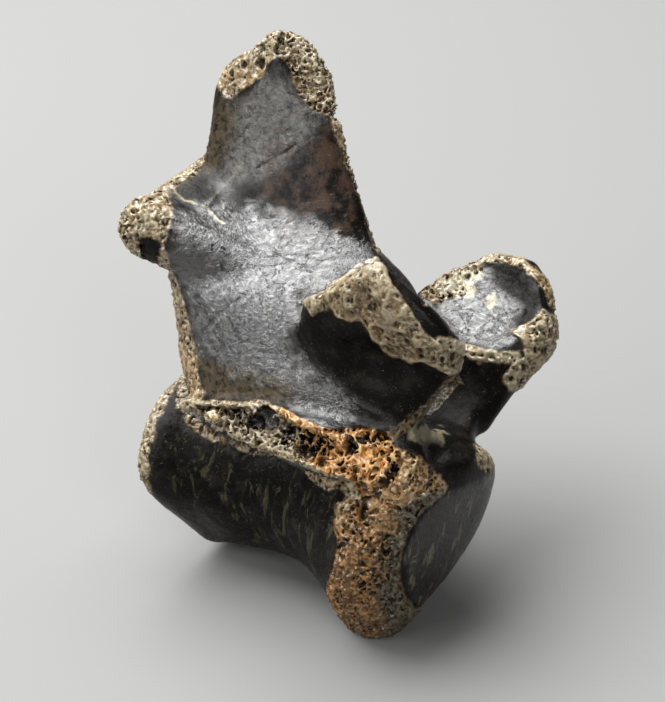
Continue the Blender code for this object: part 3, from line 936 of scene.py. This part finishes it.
# Materials
boneLooks = {
    "cortex": (0.0050, 0.0042, 0.0036),
    "cortexPale": (0.014, 0.0118, 0.010),
    "plate": (0.105, 0.098, 0.090),
    "rust": (0.046, 0.027, 0.018),
    "brown": (0.070, 0.055, 0.035),
    "tan": (0.40, 0.31, 0.185),
    "tanMiddle": (0.145, 0.100, 0.052),
    "tanDeep": (0.040, 0.025, 0.012),
    "ochre": (0.58, 0.27, 0.055),
    "ochreDeep": (0.26, 0.105, 0.026),
    "crust": (0.25, 0.125, 0.036),
    "crustDeep": (0.050, 0.028, 0.012),
    "olive": (0.135, 0.120, 0.075),
    "cream": (0.56, 0.50, 0.33),
    # near-black: painted shade in the hollows and deep holes of bare bone, and the colour of the cracks
    "shadeAndCrackBlack": (0.006, 0.004, 0.003),
    "specular": 0.04,
    "coatRoughness": 0.13,
    "coatIor": 2.05,
    "broadSpots": 9.0,  # sizes of the colour's noise in millimetres
    "middleSpots": 2.4,
    "smallSpots": 0.9,
    "fineSpots": 0.45,
    "gritSpots": 0.16,
}


class Nodes:
    # short calls for building a node tree
    def __init__(self, tree):
        self.tree = tree

    def add(self, kind, inputs=None, **settings):
        node = self.tree.nodes.new(kind)
        for name, value in settings.items():
            setattr(node, name, value)
        for name, value in (inputs or {}).items():
            if isinstance(value, bpy.types.NodeSocket):
                self.tree.links.new(value, node.inputs[name])
            else:
                node.inputs[name].default_value = value
        return node

    def value(self, name):
        return self.add("ShaderNodeAttribute", attribute_name=name).outputs["Fac"]

    def maths(self, operation, first, second=0.0, third=None, clamp=False):
        inputs = {0: first, 1: second}
        if third is not None:
            inputs[2] = third
        return self.add("ShaderNodeMath", inputs, operation=operation, use_clamp=clamp).outputs[0]

    def ranged(self, value, low, high, bottom=0.0, top=1.0):
        inputs = {"Value": value, "From Min": low, "From Max": high, "To Min": bottom, "To Max": top}
        return self.add("ShaderNodeMapRange", inputs, interpolation_type="SMOOTHSTEP").outputs[0]

    def noise(self, where, size, detail=3.0, roughness=0.55, distortion=0.0):
        inputs = {"Vector": where, "Scale": 1000.0 / size, "Detail": detail, "Roughness": roughness}
        return self.add("ShaderNodeTexNoise", {**inputs, "Distortion": distortion}).outputs["Fac"]

    def stretched(self, where, turn, scale):
        return self.add("ShaderNodeMapping", {"Vector": where, "Rotation": turn, "Scale": scale}).outputs[0]

    def bumped(self, strength, distance, height, under=None):
        inputs = {"Strength": strength, "Distance": distance, "Height": height}
        if under is not None:
            inputs["Normal"] = under
        return self.add("ShaderNodeBump", inputs).outputs[0]

    def mixed(self, amount, first, second, blend="MIX"):
        node = self.tree.nodes.new("ShaderNodeMix")
        node.data_type = "RGBA"
        node.blend_type = blend
        for socket, value in ((node.inputs[0], amount), (node.inputs[6], first), (node.inputs[7], second)):
            if isinstance(value, bpy.types.NodeSocket):
                self.tree.links.new(value, socket)
            elif isinstance(value, tuple):
                socket.default_value = (*value, 1.0)
            else:
                socket.default_value = value
        return node.outputs[2]


def boneMaterial(looks):
    material = bpy.data.materials.new("fossil_bone")
    material.use_nodes = True
    tree = material.node_tree
    tree.nodes.clear()
    n = Nodes(tree)
    where = n.add("ShaderNodeTexCoord").outputs["Object"]
    worn, crust, ochre, olive = n.value("worn"), n.value("crust"), n.value("ochre"), n.value("olive")
    sunk, ridge, cream, crack = n.value("sunk"), n.value("ridge"), n.value("cream"), n.value("crack")
    rust, grey, gloss, dull = n.value("rust"), n.value("grey"), n.value("gloss"), n.value("dull")
    dim, streaked, brown = n.value("dim"), n.value("streaks"), n.value("brown")

    broad = n.noise(where, looks["broadSpots"], 4.0, 0.6, 0.6)
    middle = n.noise(where, looks["middleSpots"], 4.0, 0.6)
    small = n.noise(where, looks["smallSpots"], 4.0, 0.65, 0.4)
    fine = n.noise(where, looks["fineSpots"], 4.0, 0.7)
    grit = n.noise(where, looks["gritSpots"], 2.0, 0.6)
    bare = n.maths("MAXIMUM", worn, crust)

    cortex = n.mixed(n.ranged(middle, 0.45, 0.7), looks["cortex"], looks["cortexPale"])
    cortex = n.mixed(n.maths("MULTIPLY", grey, n.ranged(small, 0.25, 0.7)), cortex, looks["plate"])
    cortex = n.mixed(n.maths("MULTIPLY", rust, n.ranged(middle, 0.42, 0.66)), cortex, looks["rust"])
    cortex = n.mixed(n.maths("MULTIPLY", brown, n.ranged(small, 0.3, 0.6)), cortex, looks["brown"])
    specks = n.maths("MULTIPLY", n.ranged(grit, 0.62, 0.7), n.ranged(small, 0.5, 0.62))
    cortex = n.mixed(n.maths("MULTIPLY", specks, 0.3), cortex, looks["cream"])
    along = n.stretched(where, (0.0, 0.62, -0.4), (1.0, 1.0, 0.16))
    lines = n.maths("MULTIPLY", n.ranged(n.noise(along, 1.3, 4.0, 0.65, 0.8), 0.54, 0.64), streaked)
    cortex = n.mixed(n.maths("MULTIPLY", lines, 0.9), cortex, looks["olive"])

    patchy = n.maths("MULTIPLY_ADD", fine, 0.5, n.maths("MULTIPLY", small, 0.5))
    tan = n.mixed(n.ranged(patchy, 0.38, 0.52), looks["tanDeep"], looks["tanMiddle"])
    tan = n.mixed(n.ranged(patchy, 0.48, 0.62), tan, looks["tan"])
    tan = n.mixed(n.maths("MULTIPLY", n.ranged(middle, 0.44, 0.58), 0.7), tan, looks["tanMiddle"])
    grain = n.noise(n.stretched(where, (0.3, 0.5, 0.2), (0.22, 1.0, 1.0)), 0.7, 3.0, 0.6)
    tan = n.mixed(n.maths("MULTIPLY", n.ranged(grain, 0.54, 0.66), 0.45), tan, looks["cream"])
    tan = n.mixed(n.maths("MULTIPLY", n.ranged(broad, 0.52, 0.66), 0.14), tan, looks["ochre"])
    tan = n.mixed(n.maths("MULTIPLY", dim, 0.7), tan, looks["tanDeep"])
    orange = n.mixed(n.ranged(small, 0.38, 0.62), looks["ochreDeep"], looks["ochre"])
    tan = n.mixed(ochre, tan, orange)
    scab = n.mixed(n.ranged(small, 0.36, 0.64), looks["crustDeep"], looks["crust"])
    scab = n.mixed(n.maths("MULTIPLY", n.ranged(fine, 0.55, 0.7), 0.5), scab, looks["ochre"])
    green = n.mixed(n.ranged(small, 0.35, 0.62), looks["crustDeep"], looks["olive"])
    scab = n.mixed(olive, scab, green)

    colour = n.mixed(worn, cortex, tan)
    colour = n.mixed(crust, colour, scab)
    colour = n.mixed(cream, colour, looks["cream"])
    # painted highlight: the crests of worn bone are painted paler, towards cream
    paintedCrestHighlight = n.maths("MULTIPLY", n.ranged(ridge, 0.35, 1.0), n.maths("MULTIPLY", worn, 0.3))
    colour = n.mixed(paintedCrestHighlight, colour, looks["cream"])
    # painted shade: the hollows between the crests of bare bone and its deep holes are painted nearly black
    paintedPitShade = n.maths("MULTIPLY", n.ranged(ridge, 0.05, -0.45), n.maths("MULTIPLY", bare, 0.9))
    colour = n.mixed(paintedPitShade, colour, looks["shadeAndCrackBlack"])
    colour = n.mixed(n.maths("MULTIPLY", n.ranged(sunk, 0.5, 1.8), bare), colour, looks["shadeAndCrackBlack"])
    colour = n.mixed(n.maths("MULTIPLY", crack, 0.9), colour, looks["shadeAndCrackBlack"])

    roughness = n.ranged(small, 0.3, 0.7, 0.22, 0.40)
    rougher = n.ranged(fine, 0.3, 0.7, 0.35, 0.7)
    roughness = n.add("ShaderNodeMix", {0: bare, 2: roughness, 3: rougher}).outputs[0]
    shine = n.maths("MULTIPLY", n.maths("SUBTRACT", 1.0, dull), n.maths("MULTIPLY_ADD", gloss, 0.85, 0.05))
    shine = n.maths("MAXIMUM", shine, n.maths("MULTIPLY", bare, n.ranged(fine, 0.42, 0.6, 0.0, 0.8)))
    shine = n.maths("MULTIPLY", shine, n.maths("MULTIPLY_ADD", n.maths("MULTIPLY", dim, worn), -0.8, 1.0))
    shine = n.maths("MULTIPLY", shine, n.maths("MULTIPLY_ADD", paintedPitShade, -0.8, 1.0))

    smoothness = n.maths("SUBTRACT", 1.0, n.maths("MULTIPLY", bare, 0.7))
    smoothness = n.maths("MULTIPLY", smoothness, n.maths("MULTIPLY_ADD", gloss, 0.75, 0.25))
    creases = n.maths("MULTIPLY", n.ranged(n.noise(where, 1.9, 4.0, 0.6, 1.8), 0.34, 0.46), 0.3)
    wrinkle = n.maths("ADD", creases, n.noise(where, 1.3, 5.0, 0.64, 1.3))
    bump = n.bumped(0.8, 0.00036, n.maths("MULTIPLY", wrinkle, smoothness))
    roughened = n.maths("MULTIPLY", fine, n.maths("MULTIPLY_ADD", bare, 0.65, 0.35))
    bump = n.bumped(0.6, 0.00016, roughened, bump)
    bump = n.bumped(0.3, 0.00004, grit, bump)

    shader = n.add("ShaderNodeBsdfPrincipled", {
        "Base Color": colour, "Roughness": roughness, "Normal": bump,
        "Specular IOR Level": looks["specular"], "Coat Weight": shine,
        "Coat Roughness": looks["coatRoughness"], "Coat IOR": looks["coatIor"], "Coat Normal": bump,
    })
    output = n.add("ShaderNodeOutputMaterial")
    tree.links.new(shader.outputs[0], output.inputs["Surface"])
    return material


skin.data.materials.clear()
skin.data.materials.append(boneMaterial(boneLooks))
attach(skin, "root")
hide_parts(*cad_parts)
print("material set")

# A pebble of bone caught in the left end of the scar
pebbleLooks = {
    "pixel": (213, 417),
    "sink": -0.45,
    "radius": 0.95,
    "squeeze": (1.15, 0.85, 0.9),
    "lumps": 0.22,
    "lumpSize": 0.7,
    "colour": (0.58, 0.44, 0.22),
    "roughness": 0.4,
    "coat": 0.5,
}


def addPebble(looks):
    shape = bmesh.new()
    bmesh.ops.create_icosphere(shape, subdivisions=4, radius=looks["radius"])
    spots = np.array([corner.co for corner in shape.verts], dtype=np.float32)
    swell = 1 + clouds(spots, looks["lumpSize"], 9)[:, None] * looks["lumps"]
    middle = ownPoint(*looks["pixel"], looks["sink"])
    places = toRow(spots * swell * looks["squeeze"] + middle) / 1000
    for corner, place in zip(shape.verts, places):
        corner.co = place
    for face in shape.faces:
        face.smooth = True
    mesh = bpy.data.meshes.new("scar_pebble")
    shape.to_mesh(mesh)
    shape.free()
    pebble = bpy.data.objects.new("scar_pebble", mesh)
    bpy.context.scene.collection.objects.link(pebble)
    material = bpy.data.materials.new("pebble_bone")
    material.use_nodes = True
    n = Nodes(material.node_tree)
    shader = material.node_tree.nodes["Principled BSDF"]
    where = n.add("ShaderNodeTexCoord").outputs["Object"]
    speckle = n.ranged(n.noise(where, 0.5, 4.0, 0.65), 0.38, 0.6)
    colour = n.mixed(speckle, boneLooks["tanDeep"], looks["colour"])
    material.node_tree.links.new(colour, shader.inputs["Base Color"])
    shader.inputs["Roughness"].default_value = looks["roughness"]
    shader.inputs["Coat Weight"].default_value = looks["coat"]
    mesh.materials.append(material)
    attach(pebble, "root")


addPebble(pebbleLooks)

# Floor and light
floorLooks = {"size": 6.0, "colour": (0.24, 0.24, 0.236), "roughness": 0.9}


def addFloor(looks):
    mesh = bpy.data.meshes.new("floor")
    half = looks["size"] / 2
    corners = [(-half, -half, 0), (half, -half, 0), (half, half, 0), (-half, half, 0)]
    mesh.from_pydata(corners, [], [(0, 1, 2, 3)])
    floor = bpy.data.objects.new("floor", mesh)
    bpy.context.scene.collection.objects.link(floor)
    material = bpy.data.materials.new("floor")
    material.use_nodes = True
    shader = material.node_tree.nodes["Principled BSDF"]
    shader.inputs["Base Color"].default_value = (*looks["colour"], 1)
    shader.inputs["Roughness"].default_value = looks["roughness"]
    mesh.materials.append(material)


# Each lamp: where it stands and what it faces, in metres, its size in metres and power in watts.
lamps = {
    "overhead": {"at": (-0.30, 0.06, 0.66), "to": (0.0, 0.0, 0.03), "size": (1.00, 0.66), "power": 17.5},
    "left": {"at": (-0.30, -0.54, 0.38), "to": (0.0, 0.0, 0.03), "size": (0.44, 0.22), "power": 2.0},
    "right": {"at": (0.55, -0.40, 0.45), "to": (0.0, 0.0, 0.03), "size": (0.30, 0.30), "power": 1.6},
}


def addLamp(name, spec):
    data = bpy.data.lights.new(name, "AREA")
    data.shape = "RECTANGLE"
    data.size, data.size_y = spec["size"]
    data.energy = spec["power"]
    lamp = bpy.data.objects.new(name, data)
    bpy.context.scene.collection.objects.link(lamp)
    lamp.location = spec["at"]
    lamp.rotation_euler = (Vector(spec["at"]) - Vector(spec["to"])).to_track_quat("Z", "Y").to_euler()


addFloor(floorLooks)
for name, spec in lamps.items():
    addLamp(name, spec)

skyLooks = {"colour": (0.97, 0.98, 1.0), "strength": 0.10}
world = bpy.data.worlds.new("studio")
bpy.context.scene.world = world
world.use_nodes = True
sky = world.node_tree.nodes["Background"]
sky.inputs["Color"].default_value = (*skyLooks["colour"], 1)
sky.inputs["Strength"].default_value = skyLooks["strength"]
bpy.context.scene.view_settings.view_transform = "Standard"
print("floor and lamps")
